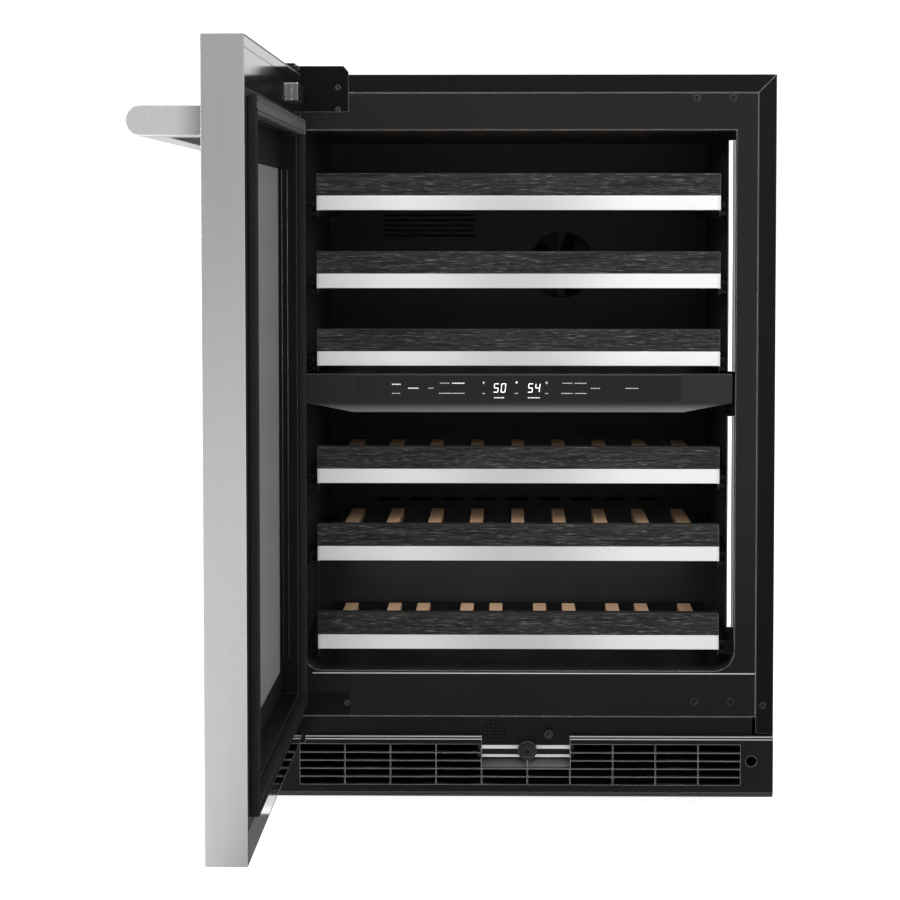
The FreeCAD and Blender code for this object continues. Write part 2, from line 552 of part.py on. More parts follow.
def door():
    """Steel skin with a window, moulded liner, gasket, two panes, and their spacer."""
    front, back = "(-door_gap - door_thick)", "(-door_gap)"
    solid = profile("skin_solid", "XZ", corners_of("-door_half : door_half",
                                                  "door_low : top"), front, back)
    soften(solid, X_WAY, "1.5", lambda c: c.y < -size("door_gap") - 10)
    room = block("skin_room", "skin - door_half : door_half - skin",
                 f"{front} + skin : {back} + 1", "door_low + skin : top - skin")
    window = block("skin_window", "-window_half : window_half", f"{front} - 1 : {back}",
                   "window_low : window_high")
    holes = [rod(f"skin_bush_{z}", "z", "hinge_x", "hinge_y", z, "bush_r + 0.1", "6")
             for z in ("door_low - 2", "top - 4")]
    node("door_outer_skin", swing(cut("skin_wrap", solid, room, window, *holes)))
    wide = "skin + seam - door_half : door_half - skin - seam"
    caps = [block("cap_top", wide, f"{back} - 4 : {back}",
                  "door_liner_high + seam : top - skin - seam"),
            block("cap_bottom", wide, f"{back} - 4 : {back}",
                  "door_low + skin + seam : door_liner_low - seam")]
    node("door_end_caps", swing(group("caps", caps)))
    node("door_inner_liner", swing(ring(
        "door_liner", wide, "door_liner_low : door_liner_high",
        "-recess_half : recess_half", "recess_low : recess_high",
        f"{back} - recess : {back}")))
    node("door_gasket", swing(ring(
        "gasket", "-gasket_half : gasket_half", "gasket_low : gasket_high",
        "gasket_wide - gasket_half : gasket_half - gasket_wide",
        "gasket_low + gasket_wide : gasket_high - gasket_wide",
        f"{back} : {back} + gasket_proud")))
    edge = "window_half + 13"
    tall = "window_low - 13 : window_high + 13"
    outer = f"{front} + skin + 0.1"
    inner = f"{back} - recess - 0.2"
    node("glass_outer_pane", swing(group("outer_pane", [block(
        "outer_sheet", f"-({edge}) : {edge}", f"{outer} : {outer} + pane", tall)])))
    node("glass_inner_pane", swing(group("inner_pane", [block(
        "inner_sheet", "-recess_half - 4 : recess_half + 4",
        f"{inner} - pane + 1 : {inner}", "recess_low - 4 : recess_high + 4")])))
    node("glass_spacer", swing(ring(
        "spacer", f"-({edge}) : {edge}", tall,
        f"spacer_wide - ({edge}) : {edge} - spacer_wide",
        "window_low - 13 + spacer_wide : window_high + 13 - spacer_wide",
        f"{outer} + pane + 0.1 : {inner} - pane + 0.9")))

    fittings = [block("hinge_strike", "-255 : -185", f"{back} : {back} + 7.3", "833 : 853")]
    for i, (low, long) in enumerate((("door_low - 1.7", "21.7"), ("top - 20", "25.8"))):
        sleeve = rod(f"bush_{i}", "z", "hinge_x", "hinge_y", low, "bush_r", long)
        bore = rod(f"bush_bore_{i}", "z", "hinge_x", "hinge_y", f"{low} - 1",
                   "pin_r + pin_play", f"{long} + 2")
        fittings.append(cut(f"bush_turned_{i}", sleeve, bore))
    node("door_hinge_fittings", swing(group("hinge_fittings", fittings)))

    nose = "handle_tall / 2 - 0.2"
    shown = f"{front} - handle_out"
    low, high = "handle_z - handle_tall / 2", "handle_z + handle_tall / 2"

    def bar(name, x, y):
        near = y.split(" : ")[0]
        piece = profile(name, "YZ", corners_of(y, f"{low} : {high}"), *x.split(" : "))
        edge_y = -size("door_gap") - size("door_thick") - size("handle_out")
        return soften(piece, X_WAY, nose, lambda c: abs(c.y - edge_y) < 0.5)

    grip = bar("grip", "post_wide - handle_half + seam : handle_half - post_wide - seam",
               f"{shown} : {shown} + grip_deep")
    node("handle_bar", swing(grip))
    posts = [bar("post_right", "handle_half - post_wide : handle_half",
                 f"{shown} : {front}")]
    posts.append(bar("post_left", "-handle_half : post_wide - handle_half",
                     f"{shown} : {front}"))
    node("handle_posts", swing(group("posts", posts)))


# ------------------------------------------------------------------ racks
def slat_places(cradled):
    """Slat centres: evenly spaced, or in pairs that cradle a bottle."""
    if not cradled:
        return [f"{i} * slat_pitch" for i in range(-4, 5)]
    places = []
    for side in (-1, 1):
        places += [f"{side} * ({i} + 0.5) * cradle_pitch - {way} * cradle_half"
                   for i in range(3) for way in (-1, 1) if (i, side * way) != (2, -1)]
    return places


def rack(number, deep, cradled):
    """A dark timber front, a steel carrier with its runners, and beech slats."""
    name = f"rack_{number}"
    top = name
    board = profile(f"{name}_front", "XZ", corners_of(
        "-rack_half : rack_half", f"{top} - board_tall : {top}"),
        "rack_front", "rack_front + board_thick")
    soften(board, X_WAY, "0.8", lambda c: c.y < size("rack_front") + 1, "Chamfer")
    node(f"{name}_board", board)

    behind = "rack_front + board_thick"
    trim = profile(f"{name}_trim", "YZ", [
        ("rack_front", f"{top} - board_tall - trim_tall"),
        ("rack_front", f"{top} - board_tall - 0.1"),
        ("rack_front + plate", f"{top} - board_tall - 0.1"),
        ("rack_front + plate", f"{top} - board_tall - trim_tall + plate"),
        (behind, f"{top} - board_tall - trim_tall + plate"),
        (behind, f"{top} - board_tall - trim_tall")], "-rack_half", "rack_half")
    right = [
        block(f"{name}_side", "rack_half - plate : rack_half", f"rack_front + 1 : {deep}",
              f"{top} - side_drop : {top} - board_tall - 3"),
        cut(f"{name}_runner",
            block(f"{name}_runner_bar", "rack_half - 0.5 : runner_out",
                  f"rack_front + 12 : {deep}",
                  f"{top} - runner_drop - 8 : {top} - runner_drop + 8"),
            block(f"{name}_runner_groove", "tongue_in - 0.3 : runner_out + 1",
                  f"rack_front + 11 : {deep} + 1",
                  f"{top} - runner_drop - tongue_half - 0.3 :"
                  f" {top} - runner_drop + tongue_half + 0.3"))]
    side = join(f"{name}_right", *right)
    across = "-rack_half + 1 : rack_half - 1"
    rear = block(f"{name}_rear", across, f"{deep} - plate : {deep}",
                 f"{top} - 44 : {top} - slat_drop + 2")
    under = f"{top} - slat_drop - slat_thick"
    ties = [block(f"{name}_tie_{i}", across,
                  f"{deep} * {share} - 5 : {deep} * {share} + 5",
                  f"{under} - 6 : {under} - 0.1") for i, share in enumerate((0.36, 0.68))]
    node(f"{name}_carrier", join(f"{name}_frame", trim, side,
                                 mirrored(f"{name}_left", side), rear, *ties))
    slats = [block(f"{name}_slat_{i}", f"{place} - slat_wide / 2 : {place} + slat_wide / 2",
                   f"{behind} + 0.1 : {deep} - plate - 0.1",
                   f"{under} : {top} - slat_drop")
             for i, place in enumerate(slat_places(cradled))]
    node(f"{name}_slats", group(f"{name}_bed", slats))

    rail = block(f"rail_{number}", "rail_in - 0.5 : rail_out", f"rack_front + 8 : {deep} - 4",
                 f"{top} - runner_drop - 8 : {top} - runner_drop + 8")
    tongue = block(f"tongue_{number}", "tongue_in : rail_in", f"rack_front + 20 : {deep} - 8",
                   f"{top} - runner_drop - tongue_half : {top} - runner_drop + tongue_half")
    fixed = join(f"rail_right_{number}", rail, tongue)
    return [fixed, mirrored(f"rail_left_{number}", fixed)]


def racks():
    """Five deep racks and a shallow one in front of the step over the machine space."""
    rails = []
    for number in range(1, 7):
        shallow = number == 6
        rails += rack(number, "short_rack_deep" if shallow else "rack_deep", shallow)
    node("rack_rails", group("rails", rails))


outer_cabinet()
front_and_liner()
toe_pieces()
cabinet_hinges()
divider_and_light()
cooling_machine()
door()
racks()
doc.recompute()

failed = [obj.Name for obj in doc.Objects if {"Invalid", "Error"} & set(obj.State)]
failed += [name for name, obj in nodes if obj.Shape.isNull() or not obj.Shape.isValid()]
if failed:
    raise SystemExit("failed: " + ", ".join(failed))
os.makedirs("parts", exist_ok=True)
for name, obj in nodes:
    obj.Shape.exportStep(f"parts/{name}.step")
print(len(nodes), "sub-parts,", sum(len(obj.Shape.Solids) for _, obj in nodes), "solids")
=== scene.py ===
"""The looks of a built-in wine cooler: finishes, small fittings, lights and camera."""
import math

import bpy
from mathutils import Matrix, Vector


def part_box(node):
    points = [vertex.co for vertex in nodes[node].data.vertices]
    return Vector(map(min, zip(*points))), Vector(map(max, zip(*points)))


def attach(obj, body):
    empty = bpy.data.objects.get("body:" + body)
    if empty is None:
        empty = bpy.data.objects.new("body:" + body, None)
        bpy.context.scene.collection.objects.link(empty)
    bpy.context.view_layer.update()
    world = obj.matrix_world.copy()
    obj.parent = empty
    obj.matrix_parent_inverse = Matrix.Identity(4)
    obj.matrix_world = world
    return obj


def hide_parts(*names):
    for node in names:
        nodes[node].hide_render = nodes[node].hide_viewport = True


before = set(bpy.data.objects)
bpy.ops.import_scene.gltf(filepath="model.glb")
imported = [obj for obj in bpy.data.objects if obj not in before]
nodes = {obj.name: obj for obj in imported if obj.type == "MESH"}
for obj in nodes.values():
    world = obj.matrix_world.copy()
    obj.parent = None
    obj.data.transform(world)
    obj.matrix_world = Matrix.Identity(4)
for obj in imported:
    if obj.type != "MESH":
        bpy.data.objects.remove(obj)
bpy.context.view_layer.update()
MM = 0.001
SAME_POINT = 0.01 * MM
RACKS = range(1, 7)
APRON_FOOT, APRON_TOP = 49.5 * MM, 60.5 * MM


# ------------------------------------------------------------------ shader maths
class Value:
    """A number or colour that varies; Python's operators add its Math nodes."""

    def __init__(self, network, socket):
        self.network, self.socket = network, socket

    def maths(self, operation, *others):
        return self.network.node("ShaderNodeMath", {"operation": operation},
                                 dict(enumerate((self, *others))))

    def __add__(self, other):
        return self.maths("ADD", other)

    def __radd__(self, other):
        return self.maths("ADD", other)

    def __sub__(self, other):
        return self.maths("SUBTRACT", other)

    def __rsub__(self, other):
        return self.network.node("ShaderNodeMath", {"operation": "SUBTRACT"},
                                 {0: other, 1: self})

    def __mul__(self, other):
        return self.maths("MULTIPLY", other)

    def __rmul__(self, other):
        return self.maths("MULTIPLY", other)

    def __lt__(self, other):
        return self.maths("LESS_THAN", other)

    def __gt__(self, other):
        return self.maths("GREATER_THAN", other)

    def __abs__(self):
        return self.maths("ABSOLUTE")

    def either(self, other):
        """The larger of two masks."""
        return self.maths("MAXIMUM", other)

    def ramp(self, low, high):
        """0 below low, 1 above high, and smooth between them."""
        return self.network.node(
            "ShaderNodeMapRange", {"interpolation_type": "SMOOTHSTEP"},
            {"Value": self, "From Min": low, "From Max": high})


class Network:
    """A node tree that nodes are added to."""

    def __init__(self, tree):
        self.tree = tree

    def put(self, socket, value):
        """A link or a plain value into a socket."""
        if isinstance(value, Value):
            self.tree.links.new(value.socket, socket)
        elif isinstance(value, tuple) and len(value) == 3 and socket.type == "RGBA":
            socket.default_value = (*value, 1)
        else:
            socket.default_value = value

    def node(self, kind, settings=None, sockets=None, out=0):
        """A new node with its settings and its sockets filled, as one of its outputs."""
        made = self.tree.nodes.new(kind)
        for name, value in (settings or {}).items():
            setattr(made, name, value)
        for name, value in (sockets or {}).items():
            self.put(made.inputs[name], value)
        return Value(self, made.outputs[out])


class Paint(Network):
    """A material being mixed: one Principled shader and what feeds it."""

    def __init__(self, name, colour, **sockets):
        self.material = bpy.data.materials.new(name)
        self.material.use_nodes = True
        super().__init__(self.material.node_tree)
        self.shader = self.tree.nodes["Principled BSDF"]
        self.feed("Base Color", colour)
        for socket, value in sockets.items():
            self.feed(socket.replace("_", " ").title().replace("Ior", "IOR"), value)

    def feed(self, socket, value):
        self.put(self.shader.inputs[socket], value)

    def where(self):
        """The object's own coordinates, in metres, as three numbers."""
        here = self.node("ShaderNodeTexCoord", out="Object")
        split = self.node("ShaderNodeSeparateXYZ", sockets={0: here})
        return [Value(self, out) for out in split.socket.node.outputs]

    def noise(self, stretch=(1, 1, 1), scale=100.0, detail=2.0, rough=0.5):
        """Noise drawn out along an axis by a small number in stretch."""
        here = self.node("ShaderNodeTexCoord", out="Object")
        placed = self.node("ShaderNodeMapping", sockets={"Vector": here, "Scale": stretch})
        return self.node("ShaderNodeTexNoise", sockets={
            "Vector": placed, "Scale": scale, "Detail": detail, "Roughness": rough})

    def mix(self, factor, low, high):
        """Between two colours."""
        return self.node("ShaderNodeMix", {"data_type": "RGBA"},
                         {0: factor, 6: low, 7: high}, out=2)

    def lay_over(self, mask, colour):
        """A colour over the one that already varies across the surface."""
        under = Value(self, self.shader.inputs["Base Color"].links[0].from_socket)
        self.feed("Base Color", self.mix(mask, under, colour))

    def edge(self, radius):
        """1 along an object's edges and 0 on its faces."""
        turned = self.node("ShaderNodeBevel", {"samples": 6}, {"Radius": radius})
        flat = self.node("ShaderNodeNewGeometry", out="Normal")
        along = self.node("ShaderNodeVectorMath", {"operation": "DOT_PRODUCT"},
                          {0: turned, 1: flat}, out="Value")
        return (1 - along).ramp(0.01, 0.1)

    def bump(self, height, strength, distance=0.0002):
        relief = self.node("ShaderNodeBump", sockets={
            "Height": height, "Strength": strength, "Distance": distance})
        self.feed("Normal", relief)


# ------------------------------------------------------------------ finishes
def brushed_steel(name, colour, along, rough=0.3, streak=0.06):
    """Stainless sheet, its brushing drawn out along one axis (0, 1 or 2)."""
    paint = Paint(name, colour, metallic=1.0, anisotropic=0.4,
                  specular_tint=(0.55, 0.55, 0.55))
    stretch = [1.0, 1.0, 1.0]
    stretch[along] = 0.012
    fine = paint.noise(tuple(stretch), 900, 3, 0.6)
    broad = paint.noise(tuple(stretch), 160, 2, 0.5)
    smudge = paint.noise((1, 1, 1), 4, 2, 0.5)
    dark = tuple(c * (1 - 1.6 * streak) for c in colour)
    light = tuple(min(1, c * (1 + streak)) for c in colour)
    steel = paint.mix(fine * 0.6 + broad * 0.4, dark, light)
    if name == "handle_steel":
        low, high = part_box("handle_posts")
        x, y, z = paint.where()
        # Painted shade: the handle is darkened where its posts meet the door.
        painted_shade_at_door = x.ramp(high.x - 30 * MM, high.x + 4 * MM) * (y < low.y + 2 * MM)
        steel = paint.mix(painted_shade_at_door, steel, tuple(c * 0.4 for c in colour))
        # Painted shade: the handle's underside is darkened, more towards the door, and the
        # whole handle a little.
        under = (z < low.z + 0.6 * MM) * x.ramp(low.x, high.x)
        steel = paint.mix(under * 0.8 + 0.1, steel, tuple(c * 0.42 for c in colour))
    # Painted highlight: the steel's edges are paled towards bright steel.
    paint.feed("Base Color", paint.mix(paint.edge(0.0014), steel, (0.82, 0.82, 0.825)))
    paint.feed("Roughness", rough + (fine - 0.5) * 0.08 + (smudge - 0.5) * 0.05)
    paint.bump(fine, 0.03, 0.00003)
    return paint.material


def mirror_steel():
    """Polished sheet with faint wiping marks, and a painted reflection: its lower part is
    darker.
    """
    low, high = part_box("door_end_caps")
    paint = Paint("mirror_steel", (0.66, 0.665, 0.67), metallic=1.0)
    wiped = paint.noise((1, 1, 0.2), 22, 4, 0.65)
    x, y, z = paint.where()
    # Painted reflection: the lower part is darker, standing in for the dim floor it reflects.
    upper = z.ramp(low.z + 0.1, low.z + 0.2)
    seam_height = high.z - 10.5 * MM
    seam = 1 - abs(z - seam_height).ramp(0.6 * MM, 1.4 * MM)
    steel = paint.mix(upper, (0.25, 0.252, 0.255), (0.62, 0.622, 0.625))
    paint.feed("Base Color", paint.mix(seam, steel, (0.02, 0.02, 0.02)))
    paint.feed("Roughness", 0.07 + wiped * 0.06)
    paint.bump(paint.noise((1, 1, 1), 9, 2, 0.5), 0.03, 0.0004)
    return paint.material


def nickel():
    """Plated die casting, with a painted highlight along its edges."""
    paint = Paint("nickel_plate", (0.3, 0.3, 0.3), metallic=1.0)
    grain = paint.noise((1, 1, 1), 420, 3, 0.6)
    # Painted highlight: the edges are paled almost to white.
    painted_edge_highlight = paint.edge(0.0012)
    paint.feed("Base Color", paint.mix(painted_edge_highlight, (0.16, 0.16, 0.16), (0.85, 0.85, 0.84)))
    paint.feed("Roughness", 0.2 + grain * 0.14)
    paint.bump(grain, 0.15, 0.00006)
    return paint.material


def dark_metal():
    """Blackened screw steel, with a painted highlight along its edges."""
    paint = Paint("blackened_steel", (0.05, 0.05, 0.05), metallic=1.0)
    grain = paint.noise((1, 1, 1), 600, 3, 0.6)
    # Painted highlight: the edges are paled to grey.
    paint.feed("Base Color", paint.mix(paint.edge(0.0004), (0.015, 0.015, 0.015),
                                       (0.4, 0.4, 0.4)))
    paint.feed("Roughness", 0.22 + grain * 0.14)
    return paint.material


def black_enamel(name, depth, gloss, painted_edge_highlight, above=None, rough=0.22):
    """Sprayed black enamel on sheet steel: fine orange peel, and a painted highlight paling
    its edges.

    depth scales the black, the edge highlight argument sets how pale the painted highlight
    on the edges is, and above is the height over which the edges carry it.
    """
    paint = Paint(name, (0.007, 0.007, 0.0072), specular_ior_level=gloss)
    peel = paint.noise((1, 1, 1), 700, 2, 0.5)
    cloud = paint.noise((1, 1, 1), 5, 3, 0.5)
    enamel = paint.mix(cloud, (0.0055 * depth,) * 3, (0.0085 * depth,) * 3)
    # Painted highlight: the edges are paled, above a given height only if one is set.
    edge_highlight_mask = paint.edge(0.0008)
    if above is not None:
        edge_highlight_mask = edge_highlight_mask * (paint.where()[2] > above)
    paint.feed("Base Color", paint.mix(edge_highlight_mask, enamel, (painted_edge_highlight,) * 3))
    paint.feed("Roughness", rough + cloud * 0.1)
    paint.bump(peel, 0.1, 0.00005)
    return paint


def grille_enamel():
    """The toe grille's enamel, with two painted highlight lines along its top."""
    paint = black_enamel("grille_enamel", depth=1.0, gloss=0.2, painted_edge_highlight=0.4)
    x, y, z = paint.where()
    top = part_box("toe_grille")[1].z
    face = -3 * MM
    # Painted highlights: two pale lines on the front face just under the top edge.
    upper, lower = [abs(z - top + drop) < 0.5 * MM for drop in (0.9 * MM, 3.9 * MM)]
    paint.lay_over(upper.either(lower) * (y < face), (0.45, 0.45, 0.45))
    return paint.material


def frame_enamel():
    """The front frame's enamel, with a painted highlight line along the sill's folded lip."""
    paint = black_enamel("frame_enamel", depth=1.0, gloss=0.22, painted_edge_highlight=0.72)
    x, y, z = paint.where()
    lip_height, lip_left = 161.7 * MM, -244.5 * MM
    # Painted highlight: a pale line along the sill's lip.
    painted_lip_highlight = (abs(z - lip_height) < 0.6 * MM) * (x > lip_left)
    paint.lay_over(painted_lip_highlight, (0.5, 0.5, 0.5))
    return paint.material


def apron_enamel():
    """Enamel on the lock's apron, catching more light towards its foot."""
    paint = Paint("apron_enamel", (0.02, 0.02, 0.02), specular_ior_level=0.2)
    x, y, z = paint.where()
    peel = paint.noise((1, 1, 1), 700, 2, 0.5)
    # Painted light: the enamel is paler towards the apron's foot.
    foot = 1 - z.ramp(APRON_FOOT, APRON_TOP)
    paint.feed("Base Color", paint.mix(foot, (0.004, 0.004, 0.004), (0.12, 0.12, 0.12)))
    paint.feed("Roughness", 0.3 + peel * 0.1)
    paint.bump(peel, 0.1, 0.00005)
    return paint.material


def machinery_black_and_shade():
    """Near-black matt on the machinery behind the grille: the compressor and fans' own black,
    and painted shade on the pan and condenser coil, darkened to it.
    """
    paint = Paint("matt_black", (0.004, 0.004, 0.004), specular_ior_level=0.04)
    dust = paint.noise((1, 1, 1), 40, 3, 0.6)
    paint.feed("Base Color", paint.mix(dust, (0.003, 0.003, 0.003), (0.008, 0.008, 0.008)))
    paint.feed("Roughness", 0.75 + dust * 0.15)
    return paint.material


def black_moulding(name="black_moulding", colour=(0.006, 0.006, 0.0062), rough=0.4,
                   grain_size=1100, gloss=0.12, painted_edge_highlight=0.0):
    """Moulded black plastic with a fine spark texture, and a painted highlight paling its
    edges when a level is given.
    """
    paint = Paint(name, colour, specular_ior_level=gloss)
    grain = paint.noise((1, 1, 1), grain_size, 3, 0.6)
    drift = paint.noise((1, 1, 1), 12, 2, 0.5)
    moulded = paint.mix(drift, colour, tuple(c * 1.5 for c in colour))
    # Painted highlight: the edges are paled when a highlight level is given.
    if painted_edge_highlight:
        moulded = paint.mix(paint.edge(0.0006), moulded, (painted_edge_highlight,) * 3)
    paint.feed("Base Color", moulded)
    paint.feed("Roughness", rough + (grain - 0.5) * 0.16)
    paint.bump(grain, 0.2, 0.00006)
    return paint.material


def housing_moulding():
    """The control housing, with painted light paler down its sloping underside and a painted
    highlight along its top edge.
    """
    low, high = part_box("control_housing")
    paint = Paint("housing_moulding", (0.012, 0.012, 0.0125), specular_ior_level=0.25)
    x, y, z = paint.where()
    slope = 13 * MM
    # Painted light: the sloping underside is paler towards its foot, and a painted highlight
    # runs along the top edge.
    under = 1 - z.ramp(low.z, low.z + slope)
    grain = paint.noise((1, 1, 1), 900, 3, 0.6)
    painted_edge_highlight = 1.8 * paint.edge(1 * MM) * (z > high.z - 1.5 * MM)
    paint.feed("Base Color", paint.mix(under.either(painted_edge_highlight), paint.mix(
        grain, (0.012, 0.012, 0.0122), (0.018, 0.018, 0.0183)), (0.17, 0.17, 0.172)))
    paint.feed("Roughness", 0.3 + grain * 0.1)
    paint.bump(grain, 0.15, 0.00006)
    return paint.material


def lock_steel():
    """Bright rails across the cut-out; the rest is painted black, which in the channel
    between them is painted shade.
    """
    low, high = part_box("lock_bracket")
    paint = Paint("lock_rails", (0.75, 0.75, 0.76), metallic=1.0)
    x, y, z = paint.where()
    rail = (y < low.y + 1.2 * MM) * (x > low.x + 5.2 * MM) * (x < high.x - 5.2 * MM)
    drawn = paint.noise((0.02, 1, 1), 700, 3, 0.6)
    # Painted shade: black off the rails, standing in for the channel's shade.
    paint.feed("Base Color", paint.mix(rail, (0.006, 0.006, 0.006), paint.mix(
        drawn, (0.7, 0.7, 0.71), (0.85, 0.85, 0.86))))
    paint.feed("Metallic", rail * 0.4)
    paint.feed("Roughness", 0.24 + drawn * 0.12)
    paint.bump(drawn, 0.08, 0.00005)
    return paint.material


def gasket_rubber():
    """Black seal rubber, its top strip paler and mottled grey."""
    paint = Paint("gasket_rubber", (0.018, 0.018, 0.019), specular_ior_level=0.15)
    grain = paint.noise((1, 1, 1), 500, 3, 0.7)
    low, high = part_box("door_gasket")
    x, y, z = paint.where()
    strip = 16.5 * MM
    top = z.ramp(high.z - strip - 0.5 * MM, high.z - strip) * (y > low.y + 16 * MM)
    top_strip_mottle = paint.noise((1, 0.15, 1), 220, 3, 0.6)
    paint.feed("Base Color", paint.mix(top, (0.012, 0.012, 0.0125), paint.mix(
        top_strip_mottle, (0.05, 0.05, 0.05), (0.13, 0.13, 0.13))))
    paint.feed("Roughness", 0.55 + grain * 0.15)
    paint.bump(grain, 0.25, 0.0001)
    return paint.material


def grey_sheet():
    """Galvanised sheet for the back and the pan, with a soft spangle."""
    paint = Paint("galvanised_sheet", (0.4, 0.41, 0.42), metallic=0.85)
    spangle = paint.node("ShaderNodeTexVoronoi", {"feature": "F1"}, {"Scale": 90.0})
    cloud = paint.noise((1, 1, 1), 30, 3, 0.6)
    paint.feed("Base Color", paint.mix(spangle * 0.6 + cloud * 0.4, (0.33, 0.34, 0.35),
                                       (0.5, 0.51, 0.52)))
    paint.feed("Roughness", 0.38 + spangle * 0.2)
    return paint.material


def black_oak():
    """Oak stained black: dark boards whose open grain shows as pale broken streaks."""
    paint = Paint("black_oak", (0.016, 0.0155, 0.015), specular_ior_level=0.2)
    wave = paint.noise((0.3, 1, 1), 30, 2, 0.5)
    x, y, z = paint.where()
    drawn = paint.node("ShaderNodeCombineXYZ", sockets={
        0: x * 0.038, 1: y, 2: z + (wave - 0.5) * 0.004})
    pores, rings, open_grain = [paint.node("ShaderNodeTexNoise", sockets={
        "Vector": drawn, "Scale": scale, "Detail": detail, "Roughness": 0.6})
        for scale, detail in ((1900.0, 3.0), (260.0, 2.0), (640.0, 2.0))]
    streak = pores.ramp(0.5, 0.7) * open_grain.ramp(0.42, 0.62)
    ground = paint.mix(rings.ramp(0.3, 0.7), (0.007, 0.0068, 0.0066),
                       (0.022, 0.0217, 0.0213))
    wood = paint.mix(streak, ground, (0.2, 0.197, 0.192))
    # Painted highlight: the boards' edges are paled.
    paint.feed("Base Color", paint.mix(paint.edge(0.0007), wood, (0.34, 0.336, 0.33)))
    paint.feed("Roughness", 0.5 + streak * 0.2)
    paint.bump(1 - streak, 0.3, 0.0002)
    return paint.material


def beech():
    """Oiled beech slats, grain along their length."""
    paint = Paint("oiled_beech", (0.3, 0.17, 0.1), specular_ior_level=0.3)
    grain = paint.noise((1, 0.05, 1), 330, 4, 0.6)
    board = paint.noise((0.9, 0.02, 0.9), 24, 1, 0.5)
    flecks = paint.noise((1, 0.12, 1), 900, 2, 0.5).ramp(0.6, 0.75)
    wood = paint.mix(grain * 0.6 + board * 0.4, (0.27, 0.165, 0.1), (0.54, 0.37, 0.235))
    paint.feed("Base Color", paint.mix(flecks * 0.5, wood, (0.1, 0.05, 0.03)))
    paint.feed("Roughness", 0.45 + grain * 0.15)
    paint.bump(grain, 0.2, 0.0002)
    return paint.material


def rack_steel(number):
    """Bright brushed trim at the front of a carrier, black coating on the rest."""
    low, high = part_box(f"rack_{number}_board")
    paint = Paint(f"rack_trim_{number}", (0.8, 0.8, 0.8), specular_ior_level=0.2)
    x, y, z = paint.where()
    trim_deep, trim_tall = 18.5 * MM, 17.6 * MM
    trim = ((y < low.y + trim_deep) * (z > low.z - trim_tall)
            * (abs(x) < high.x + 0.4 * MM))
    fine = paint.noise((0.01, 1, 1), 800, 3, 0.6)
    # Painted highlight across the trim: brighter towards both sides than in the middle, with
    # painted shade dimming its very ends.
    painted_sheen_across_trim = (abs(x).ramp(10 * MM, 150 * MM)
           * (1 - abs(x).ramp(high.x - 5 * MM, high.x) * 0.6))
    bright = paint.mix(painted_sheen_across_trim * 0.8 + fine * 0.2, (0.58, 0.58, 0.585), (0.9, 0.9, 0.905))
    paint.feed("Base Color", paint.mix(trim, (0.008, 0.008, 0.0085), bright))
    paint.feed("Metallic", trim * 0.45)
    paint.feed("Roughness", 0.42 - trim * (0.12 - fine * 0.08))
    paint.bump(fine, 0.08, 0.00005)
    return paint.material


def tinted_glass():
    """Outer pane: grey body tint, with a black printed border."""
    return pane("tinted_glass", (0.035, 0.037, 0.04), cover=0.9, rough=0.05)


def inner_glass():
    """Inner pane: a nearly opaque rough grey inside a black printed border, a painted
    reflection of glass seen at a glancing angle.
    """
    return pane("painted_reflection_glass", (0.168, 0.17, 0.172), cover=0.93, rough=0.55)


def pane(name, tint, cover, rough):
    """Glass whose border outside the window is printed black."""
    low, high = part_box("glass_spacer")
    border = 13 * MM
    paint = Paint(name, tint, specular_ior_level=0.25)
    x, y, z = paint.where()
    middle = (low + high) / 2
    half = (high - low) / 2 - Vector((0, border, border))
    clear = (abs(y - middle.y) < half.y) * (abs(z - middle.z) < half.z)
    haze = paint.noise((1, 1, 1), 3, 2, 0.4)
    paint.feed("Base Color", paint.mix(clear, (0.004, 0.004, 0.0045), tint))
    paint.feed("Alpha", 1 - clear * (1 - cover))
    paint.feed("Roughness", rough + haze * 0.04)
    return paint.material


def touch_glass():
    """The control panel's black glass, a little smeared."""
    paint = Paint("touch_glass", (0.003, 0.003, 0.0032), specular_ior_level=0.22)
    smear = paint.noise((1, 1, 0.4), 16, 4, 0.6)
    paint.feed("Roughness", 0.1 + smear * 0.1)
    return paint.material


def lamp(name, colour, strength):
    """A lit surface: a diffuser, a display segment, and on the caption print a faint glow
    that is painted light.
    """
    paint = Paint(name, (0.8, 0.8, 0.82), emission_strength=strength, roughness=0.4)
    frost = paint.noise((1, 1, 1), 300, 2, 0.5)
    paint.feed("Emission Color", paint.mix(frost, tuple(c * 0.93 for c in colour), colour))
    return paint.material


def light_strip():
    """Frosted lens, lit along its middle."""
    low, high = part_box("led_lens")
    paint = Paint("light_strip", (0.12, 0.12, 0.12), emission_strength=6.0, roughness=0.5)
    x, y, z = paint.where()
    frost = paint.noise((1, 1, 1), 300, 2, 0.5)
    core_x = (low.x + high.x) / 2 - 1.2 * MM
    core = 1 - abs(x - core_x).ramp(1.1 * MM, 1.8 * MM)
    paint.feed("Emission Color", paint.mix(core, (0.008, 0.008, 0.008), paint.mix(
        frost, (0.94, 0.94, 0.95), (1.0, 1.0, 1.0))))
    return paint.material


def aluminium():
    """Drawn aluminium for fins, channels and spacers."""
    paint = Paint("aluminium_fin", (0.62, 0.63, 0.64), metallic=1.0)
    drawn = paint.noise((1, 1, 0.05), 500, 3, 0.6)
    paint.feed("Roughness", 0.3 + drawn * 0.2)
    paint.bump(drawn, 0.15, 0.00006)
    return paint.material


def foam():
    """Yellowish insulating foam with open cells."""
    paint = Paint("foam", (0.7, 0.62, 0.4), roughness=0.9)
    cells = paint.noise((1, 1, 1), 260, 4, 0.7)
    paint.feed("Base Color", paint.mix(cells, (0.6, 0.5, 0.3), (0.8, 0.72, 0.5)))
    paint.bump(cells, 0.6, 0.0006)
    return paint.material


